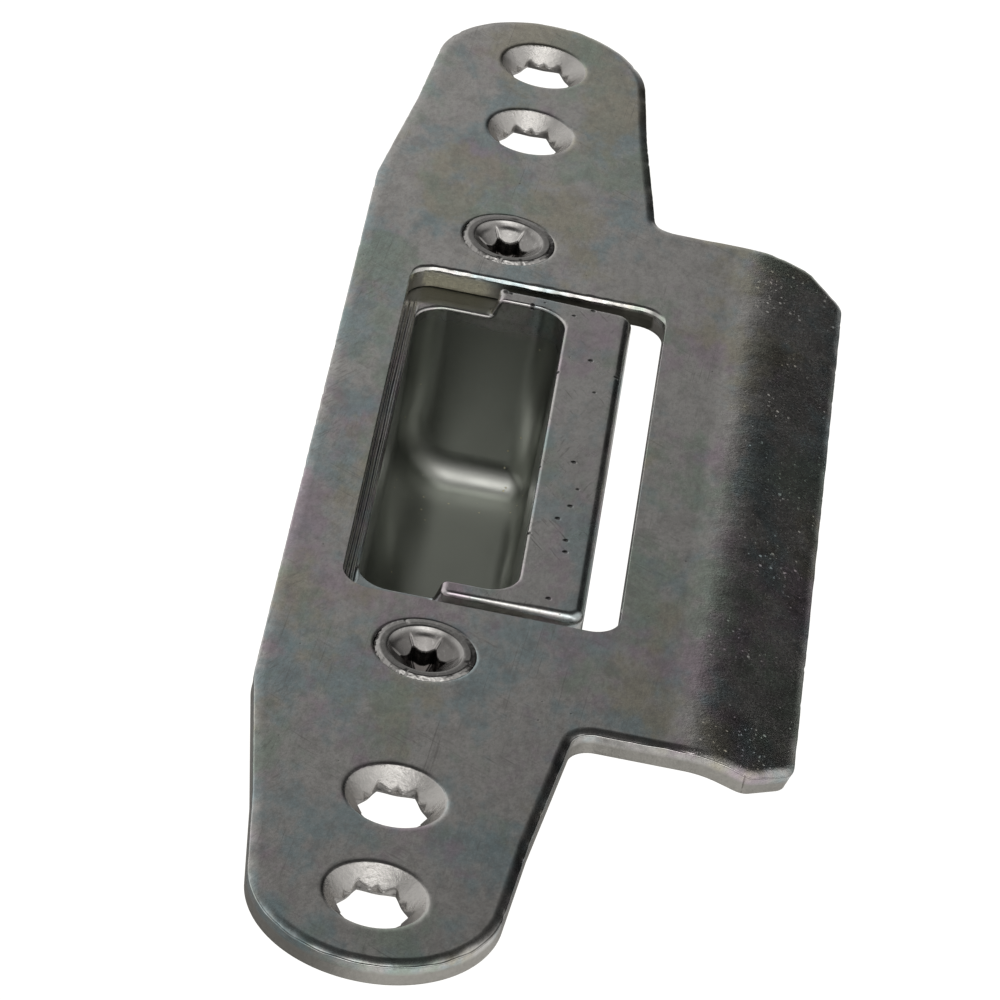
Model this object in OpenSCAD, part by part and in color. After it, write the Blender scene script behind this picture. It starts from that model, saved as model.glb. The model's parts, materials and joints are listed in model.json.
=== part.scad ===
// Adjustable latch strike for a door jamb: a plate with a curved lip, and a cast
// keeper insert that slides behind it and is clamped by two countersunk screws.
//
// Frame: Z = 0 is the back face that seats on the jamb, +Z points out of the front,
// +Y runs along the plate, +X points towards the lip. The origin is the middle of
// the four wood screw holes.

/* [Plate] */
// Thickness of the sheet
plate_t = 2.5; // [2:0.1:3.2]
// Distance from the hole line to the long straight edge
body_half_w = 16.2; // [15.6:0.1:18]
// Half length of the straight-sided body
body_half_len = 50.5; // [50.1:0.1:54]
// Radius of the round plate ends
end_r = 12.5; // [11:0.1:13]
// Centre of each round end along the plate
end_y = 80; // [76:0.5:90]
// Half width of the plate where the end tabs change taper
knee_half_w = 13.6; // [13.1:0.1:14.2]
// Position of that change along the plate
knee_y = 69.5; // [66:0.5:72]

/* [Lip] */
// Half length of the lip along the plate
lip_half_len = 49.6; // [47:0.1:50]
// Where the lip leaves the flat
lip_bend_x = 27.5; // [25:0.1:29]
// Outer radius of the lip's bend
lip_bend_r = 14; // [9:0.5:20]
// Angle that the lip is bent back
lip_bend_deg = 18; // [8:1:30]
// Reach of the lip's edge from the hole line
lip_reach = 38.8; // [36:0.1:42]
// Corner cut across the lip
lip_cut_x = 4.3; // [2:0.1:6]
// Corner cut along the lip
lip_cut_y = 4; // [2:0.1:6]
// Fillet where the lip meets the end tabs
lip_fillet_r = 2.2; // [1:0.1:4]

/* [Bolt opening] */
// Edge of the opening away from the lip
opening_x0 = -9.8; // [-10:0.1:-9.4]
// Edge of the opening next to the lip
opening_x1 = 18.9; // [18.7:0.1:20.5]
// Half length of the opening
opening_half_len = 32; // [31.5:0.1:33]
// Corner radius of the opening
opening_r = 3; // [1.5:0.1:4]

/* [Wood screw holes] */
// Spacing of the outer pair
outer_spacing = 164; // [160:1:166]
// Spacing of the inner pair
inner_spacing = 132; // [128:1:134]
// Radius of the round hole wall
hole_r = 3.1; // [2.6:0.1:3.2]
// Radius of the countersink at the front face
sink_r = 5.2; // [4.7:0.1:5.3]
// Reach of the six anti-turn notches from the hole's axis
notch_r = 3.8; // [3.6:0.1:4.1]

/* [Clamp screws] */
// Distance of each clamp screw from the middle
clamp_y = 41; // [40:0.1:42]
// Radius of the screw head
head_r = 5.2; // [4.9:0.1:5.3]
// Height of the head above the front face
head_proud = 0.15; // [0:0.05:0.3]
// Thread radius (M5)
thread_r = 2.5; // [2.4:0.05:2.6]
// Overall length of the screw
screw_len = 10; // [8:0.5:12]
// Mouth radius of the drive recess
recess_r = 3.7; // [3.4:0.1:3.9]
// Width of each rectangular nut along the plate
nut_w = 9; // [8.5:0.1:9.5]
// Length of each nut across the plate
nut_l = 10; // [8:0.1:11]
// Thickness of each nut
nut_t = 3.2; // [2.7:0.1:3.6]

/* [Keeper insert] */
// Inner edge of the pocket away from the lip
pocket_x0 = -8.4; // [-8.8:0.1:-8]
// Inner edge of the pocket next to the keeper bar
pocket_x1 = 8; // [7.5:0.1:8.5]
// Half length of the pocket
pocket_half_len = 28; // [27:0.1:28.4]
// Depth of the pocket below the front face
pocket_depth = 24; // [18:0.5:26]
// Radius of the pocket's corners and of its floor edge
pocket_r = 4; // [3:0.1:5]
// Outer edge of the keeper bar
bar_x = 15.1; // [14.8:0.1:15.3]
// Half length over the keeper's arms
keeper_half_len = 30.3; // [30:0.1:30.8]
// Tips of the keeper's arms
arm_tip_x = 0.3; // [0:0.1:1.5]
// Travel of the insert towards the lip
travel = 3.5; // [2:0.1:3.5]

/* [Hidden] */
$fn = 64;
fit = 0.05;                        // running clearance
eps = 0.01;
wall = 1.8;                        // wall of the pocket and its floor
flange_t = 3.2;                    // flange that lies behind the plate
flange_x0 = -14.9;
flange_half_len = 33;
ear_half_w = 9.5;
ear_half_len = 48.5;
ear_r = 3;
ledge_z = -fit;                    // top of the flange, just behind the plate
flange_z = ledge_z - flange_t;
nut_seat = 1.8;                    // flange left between the plate and the nut
nut_z = ledge_z - nut_seat - fit;  // top of the nut
pocket_z = plate_t - pocket_depth;
bar_t = 4.2;                       // thickness of the keeper bar
skirt_z = -6.5;                    // foot of the bar's outer skirt
skirt_t = 2.2;
rib_t = 1.8;
rib_pitch = 13.5;
bar_corner_r = 1.3;
head_rim = 0.2;                    // straight rim of the screw head
cone_deg = 45;                     // half angle of every countersink
slot_half_w = thread_r + 0.3;
recess_cone = 1.15;                // depth of the recess's conical mouth
recess_depth = 2.3;
lobe_r = 2.25;                     // outer radius of the six-lobe socket

// ---------- plate ----------

taper = atan((body_half_w - knee_half_w) / (knee_y - body_half_len));

// One end tab, up to its round end
module end_tab() {
    polygon([[-body_half_w, 0], [-body_half_w, body_half_len], [-knee_half_w, knee_y],
             [-end_r, end_y], [end_r, end_y], [knee_half_w, knee_y],
             [body_half_w, body_half_len], [body_half_w, 0]]);
    translate([0, end_y]) circle(r = end_r, $fn = 96);
}

// Concave corner between the lip block and an end tab
module lip_fillet() {
    r = lip_fillet_r;
    centre_y = lip_half_len + r;
    centre_x = body_half_w + (r - (centre_y - body_half_len) * sin(taper)) / cos(taper);
    difference() {
        polygon([[body_half_w - 1, lip_half_len - 1],
                 [centre_x - r * cos(taper), centre_y - r * sin(taper)],
                 [centre_x, centre_y], [centre_x, lip_half_len], [centre_x, lip_half_len - 1]]);
        translate([centre_x, centre_y]) circle(r = r);
    }
}

module flat_outline() {
    translate([-body_half_w, -lip_half_len])
        square([body_half_w + lip_bend_x, 2 * lip_half_len]);
    for (side = [0, 1]) mirror([0, side]) {
        end_tab();
        lip_fillet();
    }
}

// Section of the curved lip, drawn in X and Z
module lip_section() {
    inner_r = lip_bend_r - plate_t;
    tip_x = lip_bend_x + lip_bend_r * sin(lip_bend_deg);
    tip_z = plate_t - lip_bend_r * (1 - cos(lip_bend_deg));
    tip_len = (lip_reach - tip_x) / cos(lip_bend_deg);
    translate([lip_bend_x, plate_t - lip_bend_r]) intersection() {
        difference() {
            circle(r = lip_bend_r, $fn = 96);
            circle(r = inner_r, $fn = 96);
        }
        polygon([[0, 0], [-0.2, lip_bend_r * 2],
                 [lip_bend_r * 2 * sin(lip_bend_deg), lip_bend_r * 2 * cos(lip_bend_deg)]]);
    }
    translate([tip_x, tip_z]) rotate(-lip_bend_deg) translate([-eps, -plate_t])
        square([tip_len + eps, plate_t]);
}

module lip() {
    difference() {
        rotate([90, 0, 0]) linear_extrude(2 * lip_half_len, center = true) lip_section();
        for (side = [0, 1]) mirror([0, side, 0])
            translate([0, 0, -20]) linear_extrude(40)
                polygon([[lip_reach - lip_cut_x, lip_half_len], [lip_reach, lip_half_len - lip_cut_y],
                         [lip_reach + 5, lip_half_len - lip_cut_y], [lip_reach + 5, lip_half_len + 5],
                         [lip_reach - lip_cut_x, lip_half_len + 5]]);
    }
}

module rounded_rect(x0, x1, half_len, r) {
    translate([x0 + r, -half_len]) square([x1 - x0 - 2 * r, 2 * half_len]);
    translate([x0, -half_len + r]) square([x1 - x0, 2 * half_len - 2 * r]);
    for (x = [x0 + r, x1 - r], y = [-half_len + r, half_len - r])
        translate([x, y]) circle(r = r);
}

// Countersunk hole with a short round wall and six pointed notches
module wood_screw_hole() {
    notch_base = hole_r - 0.1;
    notch_half_w = hole_r * sin(7);
    translate([0, 0, -1]) cylinder(h = plate_t + 2, r = hole_r);
    translate([0, 0, plate_t - (sink_r - hole_r)])
        cylinder(h = sink_r - hole_r + eps, r1 = hole_r, r2 = sink_r + eps);
    translate([0, 0, -1]) linear_extrude(plate_t + 2)
        for (turn = [0 : 60 : 300]) rotate(turn)
            polygon([[notch_base, -notch_half_w], [notch_r, 0], [notch_base, notch_half_w]]);
}

// Seat for a clamp screw's head
module clamp_screw_seat() {
    seat_r = head_r + fit;
    straight = head_rim - head_proud + fit;
    translate([0, 0, plate_t - straight]) cylinder(h = straight + 1, r = seat_r);
    translate([0, 0, plate_t - straight - seat_r])
        cylinder(h = seat_r + eps, r1 = 0, r2 = seat_r + eps);
    translate([0, 0, -1]) cylinder(h = plate_t + 1, r = thread_r + 0.25);
}

module strike_plate() {
    color([0.52, 0.53, 0.53]) difference() {
        union() {
            linear_extrude(plate_t) flat_outline();
            lip();
        }
        translate([0, 0, -1]) linear_extrude(plate_t + 2)
            rounded_rect(opening_x0, opening_x1, opening_half_len, opening_r);
        for (y = [-outer_spacing, -inner_spacing, inner_spacing, outer_spacing] / 2)
            translate([0, y, 0]) wood_screw_hole();
        for (y = [-clamp_y, clamp_y]) translate([0, y, 0]) clamp_screw_seat();
    }
}

// ---------- keeper insert ----------

// C-shaped keeper seen from the front: the bar and its two arms
module keeper_outline() {
    arm_w = keeper_half_len - pocket_half_len;
    tip_r = arm_w / 2;
    x0 = arm_tip_x + tip_r;
    translate([x0, -keeper_half_len]) square([bar_x - bar_corner_r - x0, 2 * keeper_half_len]);
    translate([x0, -keeper_half_len + bar_corner_r])
        square([bar_x - x0, 2 * (keeper_half_len - bar_corner_r)]);
    for (side = [-1, 1]) {
        translate([bar_x - bar_corner_r, side * (keeper_half_len - bar_corner_r)])
            circle(r = bar_corner_r);
        translate([x0, side * (keeper_half_len - tip_r)]) circle(r = tip_r);
    }
}

// Flange behind the plate, with an ear for each clamp screw
module flange_outline() {
    rounded_rect(flange_x0, pocket_x1 + wall, flange_half_len, ear_r);
    rounded_rect(-ear_half_w, ear_half_w, ear_half_len, ear_r);
}

// Hollow of the pocket: round vertical corners, round floor edge, open at the front
module pocket_hollow() {
    r = pocket_r;
    xs = [pocket_x0 + r, pocket_x1 - r];
    ys = [-pocket_half_len + r, pocket_half_len - r];
    z0 = pocket_z + r;
    span_x = xs[1] - xs[0];
    span_y = ys[1] - ys[0];
    translate([0, 0, z0]) linear_extrude(pocket_depth)
        rounded_rect(pocket_x0, pocket_x1, pocket_half_len, r);
    translate([xs[0], ys[0], pocket_z]) cube([span_x, span_y, r + eps]);
    for (x = xs) translate([x, ys[0], z0]) rotate([-90, 0, 0]) cylinder(h = span_y, r = r);
    for (y = ys) translate([xs[0], y, z0]) rotate([0, 90, 0]) cylinder(h = span_x, r = r);
    for (x = xs, y = ys) translate([x, y, z0]) sphere(r = r);
}

// Slot for a clamp screw, and behind it the channel that stops the nut turning
module clamp_slot() {
    channel_half_w = nut_w / 2 + 0.15;
    x0 = -travel - 0.3;
    x1 = 0.3;
    translate([0, 0, flange_z - 1]) linear_extrude(flange_t + 2) {
        translate([x0, -slot_half_w]) square([x1 - x0, 2 * slot_half_w]);
        for (x = [x0, x1]) translate([x, 0]) circle(r = slot_half_w);
    }
    translate([-ear_half_w - 1, -channel_half_w, flange_z - 1])
        cube([2 * ear_half_w + 2, 2 * channel_half_w, flange_t - nut_seat + 1]);
}

module keeper_insert() {
    bar_z = plate_t - bar_t;
    color([0.44, 0.43, 0.45]) difference() {
        union() {
            translate([0, 0, flange_z]) linear_extrude(flange_t) flange_outline();
            translate([0, 0, bar_z]) linear_extrude(bar_t) keeper_outline();
            translate([0, 0, pocket_z - wall]) linear_extrude(ledge_z - pocket_z + wall - eps)
                rounded_rect(pocket_x0 - wall, pocket_x1 + wall, keeper_half_len, pocket_r + 1);
            translate([bar_x - skirt_t, -keeper_half_len + bar_corner_r, skirt_z])
                cube([skirt_t, 2 * (keeper_half_len - bar_corner_r), bar_z - skirt_z + eps]);
            for (i = [-2 : 2]) translate([pocket_x1, i * rib_pitch - rib_t / 2, skirt_z])
                cube([bar_x - pocket_x1 - eps, rib_t, bar_z - skirt_z + eps]);
        }
        pocket_hollow();
        for (y = [-clamp_y, clamp_y]) translate([0, y, 0]) clamp_slot();
    }
}

// ---------- clamp screws and nuts ----------

// Six-lobe socket outline
module six_lobes() {
    difference() {
        circle(r = lobe_r);
        for (turn = [30 : 60 : 330]) rotate(turn) translate([lobe_r + 0.35, 0]) circle(r = 0.95);
    }
}

module clamp_screw(y) {
    top = plate_t + head_proud;
    cone_h = (head_r - thread_r) / tan(cone_deg);
    color([0.36, 0.36, 0.38]) translate([0, y, top]) difference() {
        union() {
            translate([0, 0, -head_rim]) cylinder(h = head_rim, r = head_r);
            translate([0, 0, -head_rim - cone_h])
                cylinder(h = cone_h, r1 = thread_r, r2 = head_r);
            translate([0, 0, -screw_len]) cylinder(h = screw_len - head_rim - cone_h, r = thread_r);
        }
        translate([0, 0, -recess_cone])
            cylinder(h = recess_cone + eps, r1 = recess_r - 2, r2 = recess_r);
        translate([0, 0, -recess_depth]) linear_extrude(recess_depth) six_lobes();
    }
}

module clamp_nut(y) {
    color([0.6, 0.58, 0.5]) translate([0, y, nut_z - nut_t]) difference() {
        translate([-nut_l / 2, -nut_w / 2, 0]) cube([nut_l, nut_w, nut_t]);
        translate([0, 0, -1]) cylinder(h = nut_t + 2, r = thread_r + fit);
    }
}

strike_plate();
keeper_insert();
clamp_screw(clamp_y);  // clamp_screw_upper
clamp_screw(-clamp_y);  // clamp_screw_lower
clamp_nut(clamp_y);  // clamp_nut_upper
clamp_nut(-clamp_y);  // clamp_nut_lower
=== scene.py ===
"""Looks of an adjustable latch strike: a blanked steel plate with a curved lip, a die-cast keeper insert
behind it, two countersunk clamp screws with six-lobe recesses, and their rectangular nuts.

Shapes are built in millimetres in the row frame (Z = 0 on the plate's back, +Z out of the front, +Y along
the plate, +X towards the lip) and scaled to metres when an object is made.
"""

import json
import math

import bmesh
import bpy
import numpy as np
from mathutils import Matrix, Vector, noise
from mathutils.geometry import delaunay_2d_cdt


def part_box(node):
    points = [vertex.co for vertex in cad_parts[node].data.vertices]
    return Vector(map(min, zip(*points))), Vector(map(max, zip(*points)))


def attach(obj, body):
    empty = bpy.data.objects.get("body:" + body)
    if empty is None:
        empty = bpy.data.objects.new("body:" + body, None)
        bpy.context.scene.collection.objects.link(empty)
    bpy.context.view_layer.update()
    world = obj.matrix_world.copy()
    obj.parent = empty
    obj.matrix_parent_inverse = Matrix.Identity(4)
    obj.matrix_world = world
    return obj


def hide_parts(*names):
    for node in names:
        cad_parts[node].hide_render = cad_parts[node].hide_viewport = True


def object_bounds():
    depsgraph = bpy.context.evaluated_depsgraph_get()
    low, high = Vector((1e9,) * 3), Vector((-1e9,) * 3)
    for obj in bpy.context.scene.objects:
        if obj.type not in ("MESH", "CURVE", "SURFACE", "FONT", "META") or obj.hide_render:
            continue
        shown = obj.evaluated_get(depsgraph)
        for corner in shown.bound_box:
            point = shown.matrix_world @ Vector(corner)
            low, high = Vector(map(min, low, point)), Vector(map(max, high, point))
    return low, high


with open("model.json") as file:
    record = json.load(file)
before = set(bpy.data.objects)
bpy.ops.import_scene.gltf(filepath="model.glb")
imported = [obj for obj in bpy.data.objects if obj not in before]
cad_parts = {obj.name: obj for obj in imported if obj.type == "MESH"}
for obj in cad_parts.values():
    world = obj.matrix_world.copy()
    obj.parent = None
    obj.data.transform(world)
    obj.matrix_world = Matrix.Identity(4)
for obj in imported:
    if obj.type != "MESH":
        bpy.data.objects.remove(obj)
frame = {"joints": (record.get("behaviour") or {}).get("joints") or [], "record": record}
cad_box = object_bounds()

MM = 0.001
RECORD = frame["record"]


def box_mm(node):
    """Lowest and highest corner of a CAD node, in millimetres."""
    low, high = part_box(node)
    return np.array(low) / MM, np.array(high) / MM


def mount_spacing(name):
    """Spacing of a screw pair along the plate, in millimetres."""
    return next(m for m in RECORD["mounts"] if m["name"] == name)["dims"]["spacing_y_mm"]


PLATE_LOW, PLATE_HIGH = box_mm("strike_plate")
INSERT_BOTTOM = box_mm("keeper_insert")[0][2]
CLAMP_Y = next(j for j in frame["joints"] if j["name"] == "upper_screw_turn")["pos_m"][1] / MM
HOLE_YS = sorted(side * mount_spacing(name) / 2
                 for name in ("jamb_screws_outer", "jamb_screws_inner") for side in (-1, 1))

# ---------- mesh helpers ----------


class Builder:
    """Points in millimetres, and the faces between them."""

    def __init__(self):
        self.points = []
        self.faces = []

    def add(self, points):
        """Adds a run of points and gives their indices."""
        start = len(self.points)
        self.points.extend([float(a) for a in p] for p in points)
        return list(range(start, len(self.points)))

    def bridge(self, a, b):
        """Quads between two closed loops of the same length."""
        n = len(a)
        for i in range(n):
            j = (i + 1) % n
            self.faces.append((a[i], a[j], b[j], b[i]))

    def skin(self, loops):
        """Quads between each loop and the next; gives the first and last loop."""
        for a, b in zip(loops, loops[1:]):
            self.bridge(a, b)
        return loops[0], loops[-1]

    def cap(self, loop, centre):
        """Triangles from a closed loop to a centre point."""
        for i in range(len(loop)):
            self.faces.append((loop[i], loop[(i + 1) % len(loop)], centre))

    def fill(self, outer, holes, lines=()):
        """Triangles between an outer loop, the holes in it, and open lines that edges must follow."""
        used = [i for loop in [outer, *holes, *lines] for i in loop]
        slot = {index: k for k, index in enumerate(used)}
        flat = [Vector(self.points[i][:2]) for i in used]
        edges = [(slot[l[i]], slot[l[(i + 1) % len(l)]]) for l in [outer, *holes] for i in range(len(l))]
        edges += [(slot[l[i]], slot[l[i + 1]]) for l in lines for i in range(len(l) - 1)]
        made, _, triangles, origin, _, _ = delaunay_2d_cdt(flat, edges, [], 0, 1e-5)
        place = np.array([[v.x, v.y] for v in made])
        centre = place[np.array(triangles)].mean(1)
        keep = inside(centre, [self.points[i] for i in outer])
        for hole in holes:
            keep &= ~inside(centre, [self.points[i] for i in hole])
        for ok, triangle in zip(keep, triangles):
            if ok:
                self.faces.append(tuple(used[origin[v][0]] for v in triangle))


def inside(points, loop):
    """Which points lie inside a closed loop."""
    loop = np.array(loop)[:, :2]
    following = np.roll(loop, -1, axis=0)
    hit = np.zeros(len(points), bool)
    for (x0, y0), (x1, y1) in zip(loop, following):
        if y0 != y1:
            crosses = (y0 > points[:, 1]) != (y1 > points[:, 1])
            hit ^= crosses & (points[:, 0] < (x1 - x0) * (points[:, 1] - y0) / (y1 - y0) + x0)
    return hit


def rounded_path(corners, step):
    """Points and outward normals round a closed counterclockwise outline with rounded corners (x, y, r)."""
    at = [np.array(c[:2], float) for c in corners]
    arcs = []
    for i, (_, _, r) in enumerate(corners):
        a = at[i] - at[i - 1]
        b = at[(i + 1) % len(at)] - at[i]
        a, b = a / np.hypot(*a), b / np.hypot(*b)
        turn = math.atan2(a[0] * b[1] - a[1] * b[0], a @ b)
        reach = r * math.tan(abs(turn) / 2)
        arcs.append((at[i] - a * reach, at[i] + b * reach, a, r, turn))
    points, normals = [], []
    for i, (start, end, a, r, turn) in enumerate(arcs):
        side = math.copysign(1, turn)
        centre = start + side * r * np.array([-a[1], a[0]])
        count = max(2, math.ceil(abs(turn) * r / step), math.ceil(abs(turn) / 0.14))
        for k in range(count + 1):
            angle = turn * k / count
            c, s = math.cos(angle), math.sin(angle)
            normal = np.array([a[1] * c + a[0] * s, -a[0] * c + a[1] * s])
            points.append(centre + side * r * normal)
            normals.append(normal)
        following = arcs[(i + 1) % len(arcs)][0]
        length = np.hypot(*(following - end))
        count = max(1, math.ceil(length / step))
        for k in range(1, count):
            points.append(end + (following - end) * k / count)
            normals.append(normals[-1])
    return np.array(points), np.array(normals)


def circle(count=120):
    """Unit directions and their angles, counterclockwise."""
    turn = np.arange(count) * 2 * math.pi / count
    return np.stack([np.cos(turn), np.sin(turn)], 1), turn


def ring_points(way, r, y, z):
    """Points of a ring about a vertical axis at y, with its own radius and height in each direction."""
    return np.column_stack([way[:, 0] * r, way[:, 1] * r + y, np.broadcast_to(z, len(way))])


def smooth(x, low, high):
    """Smooth step from 0 at low to 1 at high."""
    t = np.clip((x - low) / (high - low), 0, 1)
    return t * t * (3 - 2 * t)


def wave(x, y, z, scale, seed=0.0):
    """Smooth noise from -1 to 1 with features of about scale millimetres."""
    return noise.noise(Vector((x / scale, y / scale, z / scale + seed)))


def make_object(name, points, faces, node, body, material, normals=None, attributes=(), sharp=38):
    """An object in metres that stands for a CAD node and moves with its body."""
    mesh = bpy.data.meshes.new(name)
    mesh.from_pydata([tuple(p) for p in np.asarray(points) * MM], [], faces)
    mesh.validate()
    mesh.polygons.foreach_set("use_smooth", [True] * len(mesh.polygons))
    for key, values in attributes:
        mesh.attributes.new(key, "FLOAT", "POINT").data.foreach_set("value", np.asarray(values, np.float32))
    obj = bpy.data.objects.new(name, mesh)
    bpy.context.scene.collection.objects.link(obj)
    bm = bmesh.new()
    bm.from_mesh(mesh)
    bmesh.ops.recalc_face_normals(bm, faces=bm.faces)
    bm.to_mesh(mesh)
    bm.free()
    if normals is not None:
        mesh.normals_split_custom_set_from_vertices([tuple(n) for n in normals])
    else:
        mesh.set_sharp_from_angle(angle=math.radians(sharp))
        weighted = obj.modifiers.new("weighted", "WEIGHTED_NORMAL")
        weighted.keep_sharp = True
    mesh.materials.append(material)
    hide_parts(node)
    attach(obj, body)
    return obj


# ---------- materials ----------


class Nodes:
    """Small helper that adds and links shader nodes."""

    def __init__(self, tree):
        self.tree = tree
        tree.nodes.clear()

    def add(self, kind, inputs=None, **settings):
        node = self.tree.nodes.new(kind)
        for key, value in settings.items():
            setattr(node, key, value)
        for key, value in (inputs or {}).items():
            if isinstance(value, bpy.types.NodeSocket):
                self.tree.links.new(value, node.inputs[key])
            else:
                node.inputs[key].default_value = value
        return node

    def math(self, operation, a, b=0.0, c=0.0):
        return self.add("ShaderNodeMath", {0: a, 1: b, 2: c}, operation=operation).outputs[0]

    def ramp(self, value, low, high, to_low=0.0, to_high=1.0):
        """Smooth step of a value from low to high."""
        node = self.add("ShaderNodeMapRange", {"Value": value, "From Min": low, "From Max": high,
                                               "To Min": to_low, "To Max": to_high},
                        interpolation_type="SMOOTHSTEP")
        return node.outputs[0]

    def noise(self, vector, scale, detail=2.0, rough=0.5):
        return self.add("ShaderNodeTexNoise", {"Vector": vector, "Scale": scale, "Detail": detail,
                                               "Roughness": rough}).outputs[0]

    def scaled(self, vector, scale):
        return self.add("ShaderNodeMapping", {"Vector": vector, "Scale": scale}).outputs[0]

    def turned(self, vector, degrees):
        return self.add("ShaderNodeMapping", {"Vector": vector,
                                              "Rotation": (0, 0, math.radians(degrees))}).outputs[0]

    def shifted(self, vector, shift):
        return self.add("ShaderNodeVectorMath", {0: vector, 1: shift}, operation="ADD").outputs[0]

    def object_mm(self):
        """Place on the object, in millimetres."""
        place = self.add("ShaderNodeTexCoord").outputs["Object"]
        return self.add("ShaderNodeVectorMath", {0: place, "Scale": 1 / MM}, operation="SCALE").outputs[0]

    def attribute(self, name):
        return self.add("ShaderNodeAttribute", attribute_name=name).outputs["Fac"]

    def output(self, kind, shader):
        """Links a shader to the tree's output."""
        self.tree.links.new(shader, self.add(kind).inputs[0])

    def mix(self, factor, a, b, blend="MIX"):
        node = self.add("ShaderNodeMix", data_type="RGBA", blend_type=blend)
        for socket, value in ((node.inputs[0], factor), (node.inputs[6], a), (node.inputs[7], b)):
            if isinstance(value, bpy.types.NodeSocket):
                self.tree.links.new(value, socket)
            else:
                socket.default_value = value
        return node.outputs[2]


def rgb(r, g, b):
    return (r, g, b, 1.0)


class Metal:
    """Plated metal built up in layers: colour, roughness and height in millimetres over an object."""

    def __init__(self, name, base, roughness):
        self.material = bpy.data.materials.new(name)
        self.material.use_nodes = True
        self.n = Nodes(self.material.node_tree)
        self.mm = self.n.object_mm()
        self.x, self.y, self.z = self.n.add("ShaderNodeSeparateXYZ", {0: self.mm}).outputs
        self.drawn = self.n.scaled(self.mm, (1, 0.6, 1))
        self.colour = rgb(*base)
        smear = self.n.noise(self.mm, 0.16, 3.0, 0.6)
        self.rough = self.n.ramp(smear, 0.3, 0.7, roughness[0], roughness[1])
        self.height = 0.0

    def raise_by(self, value, amount):
        self.height = self.n.math("MULTIPLY_ADD", value, amount, self.height)

    def shade(self, value, amount, tone):
        self.colour = self.n.mix(self.n.math("MULTIPLY", value, amount), self.colour, rgb(*tone))

    def tints(self, colours, amount, size):
        """Faint interference colours of the passivated zinc, in cloudy patches."""
        n = self.n
        for k, tint in enumerate(colours):
            shifted = n.shifted(self.drawn, (131 * k + 20, 70 * k, 31 * k))
            broad = n.noise(shifted, 1 / size, 3.0, 0.6)
            fine = n.noise(shifted, 0.55, 3.0, 0.6)
            self.shade(n.ramp(n.math("MULTIPLY_ADD", fine, 0.3, broad), 0.66, 0.80), amount, tint)

    def grain(self, depth, contrast):
        """Fine grain and soft mottling of the plated surface."""
        n = self.n
        cloud = n.noise(self.drawn, 0.45, 5.0, 0.7)
        fine = n.noise(self.drawn, 2.2, 4.0, 0.75)
        self.shade(n.ramp(cloud, 0.56, 0.34), contrast, (0.3, 0.29, 0.28))
        self.shade(n.ramp(fine, 0.55, 0.36), contrast, (0.3, 0.29, 0.28))
        self.shade(n.ramp(fine, 0.55, 0.68), contrast, (0.86, 0.85, 0.83))
        self.raise_by(fine, depth)

    def streaks(self, turn, along, across, low, high, area, amount):
        """Short dark scratches: the peaks of a noise stretched along one direction."""
        n = self.n
        stretched = n.scaled(n.turned(self.mm, turn), (1 / across, 1 / along, 1 / across))
        peaks = n.noise(stretched, 1.0, 2.0, 0.55)
        mark = n.math("MULTIPLY", n.ramp(peaks, low, high), area)
        self.shade(mark, amount, (0.2, 0.19, 0.18))

    def patches(self, size, low, high, seed=0.0):
        """Soft patches of about size millimetres, from 0 to 1."""
        shifted = self.n.shifted(self.mm, (seed, seed, 0))
        return self.n.ramp(self.n.noise(shifted, 1 / size, 2.0, 0.5), low, high)

    def dots(self, spacing, share, radius, depth=0.0, tone=None, rough=0.0, spread="2D"):
        """Scattered round specks, one to a cell; share is the part of the cells that hold one."""
        n = self.n
        cells = n.add("ShaderNodeTexVoronoi", {"Vector": self.mm, "Scale": 1 / spacing}, feature="F1",
                      voronoi_dimensions=spread)
        choice = n.add("ShaderNodeSeparateColor", {0: cells.outputs["Color"]}).outputs[0]
        over = n.math("SUBTRACT", share, choice)
        size = n.math("MULTIPLY", n.math("MINIMUM", n.math("MAXIMUM", over, 0.0), 0.2), 5 * radius / spacing)
        inner = n.math("MAXIMUM", n.math("SUBTRACT", size, cells.outputs["Distance"]), 0.0)
        if depth:
            self.raise_by(inner, depth)
        if tone:
            self.shade(n.ramp(inner, 0.0, 0.5 * radius / spacing), 0.9, tone)
        if rough:
            self.rough = n.math("MULTIPLY_ADD", n.ramp(inner, 0.0, 0.4 * radius / spacing), rough, self.rough)

    def layer(self, attribute, tones, rough=0.0, depth=0.0):
        """Another finish, of two mixed tones, where a vertex attribute says so; some layers paint shade or a
        highlight instead.
        """
        n = self.n
        share = n.attribute(attribute)
        grit = n.noise(self.mm, 1.9, 4.0, 0.7)
        self.colour = n.mix(share, self.colour, n.mix(grit, rgb(*tones[0]), rgb(*tones[1])))
        self.rough = n.math("MULTIPLY_ADD", share, rough, self.rough)
        self.raise_by(n.math("MULTIPLY", grit, share), depth)

    def finish(self):
        """Wires the layers to a metallic shader and gives the material."""
        n = self.n
        bump = n.add("ShaderNodeBump", {"Strength": 1.0, "Distance": MM, "Height": self.height}).outputs[0]
        shader = n.add("ShaderNodeBsdfPrincipled", {"Base Color": self.colour, "Metallic": 1.0,
                                                    "Roughness": self.rough, "Normal": bump})
        n.output("ShaderNodeOutputMaterial", shader.outputs[0])
        return self.material


TEAL = (0.43, 0.58, 0.62)
ROSE = (0.64, 0.51, 0.61)
STRAW = (0.64, 0.60, 0.46)
LEAF = (0.49, 0.60, 0.50)
STRIP_RIDGE = 0.5               # spacing of the tool marks beside the pocket


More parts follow.
